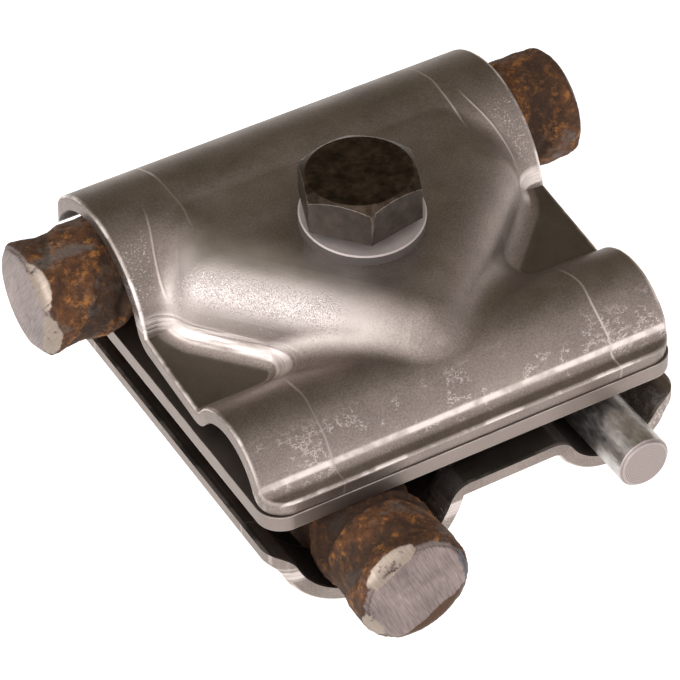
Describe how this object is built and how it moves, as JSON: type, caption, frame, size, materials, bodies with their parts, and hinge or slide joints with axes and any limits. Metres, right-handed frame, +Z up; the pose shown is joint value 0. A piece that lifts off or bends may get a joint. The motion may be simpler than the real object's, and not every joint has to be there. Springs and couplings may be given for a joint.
{
  "type": "conductor clamp",
  "caption": "Bolted cross clamp of pressed steel plates with a flat plate between, holding crossing ribbed bars and a round conductor.",
  "frame": {"origin": "bottom centre of the whole clamp's box", "axes": "+X along the upper plate's channels, +Y from the small upper channel towards the large one, +Z up along the bolt towards its head"},
  "size_m": [0.093, 0.091, 0.0614],
  "materials": {
    "pressed_steel": "dull stainless steel with pressing marks",
    "middle_steel": "dull flat sheet",
    "bolt_steel": "dark, oiled",
    "washer_steel": "satin",
    "rusty_steel": "rusty, with bright sawn ends",
    "zinc": "mottled zinc coating"
  },
  "bodies": {
    "base": {"lower_plate": "pressed_steel", "hex_nut": "bolt_steel", "lower_rebar": "rusty_steel", "round_conductor": "zinc", "middle_plate": "middle_steel", "upper_rebar": "rusty_steel"},
    "jaw": {"upper_plate": "pressed_steel", "washer": "washer_steel"},
    "bolt": {"hex_bolt": "bolt_steel"}
  },
  "joints": [
    {"name": "jaw_lift", "type": "slide", "parent": "base", "child": "jaw", "axis": [0, 0, 1], "range_m": [0, 0.006]},
    {"name": "bolt_turn", "type": "hinge", "parent": "jaw", "child": "bolt", "pos_m": [0.0005, 0.0016, 0.05], "axis": [0, 0, 1], "range_deg": [0, 1440]}
  ],
  "couplings": [
    {"joint": "bolt_turn", "follows": "jaw_lift", "rad_per_m": 4188.8}
  ]
}
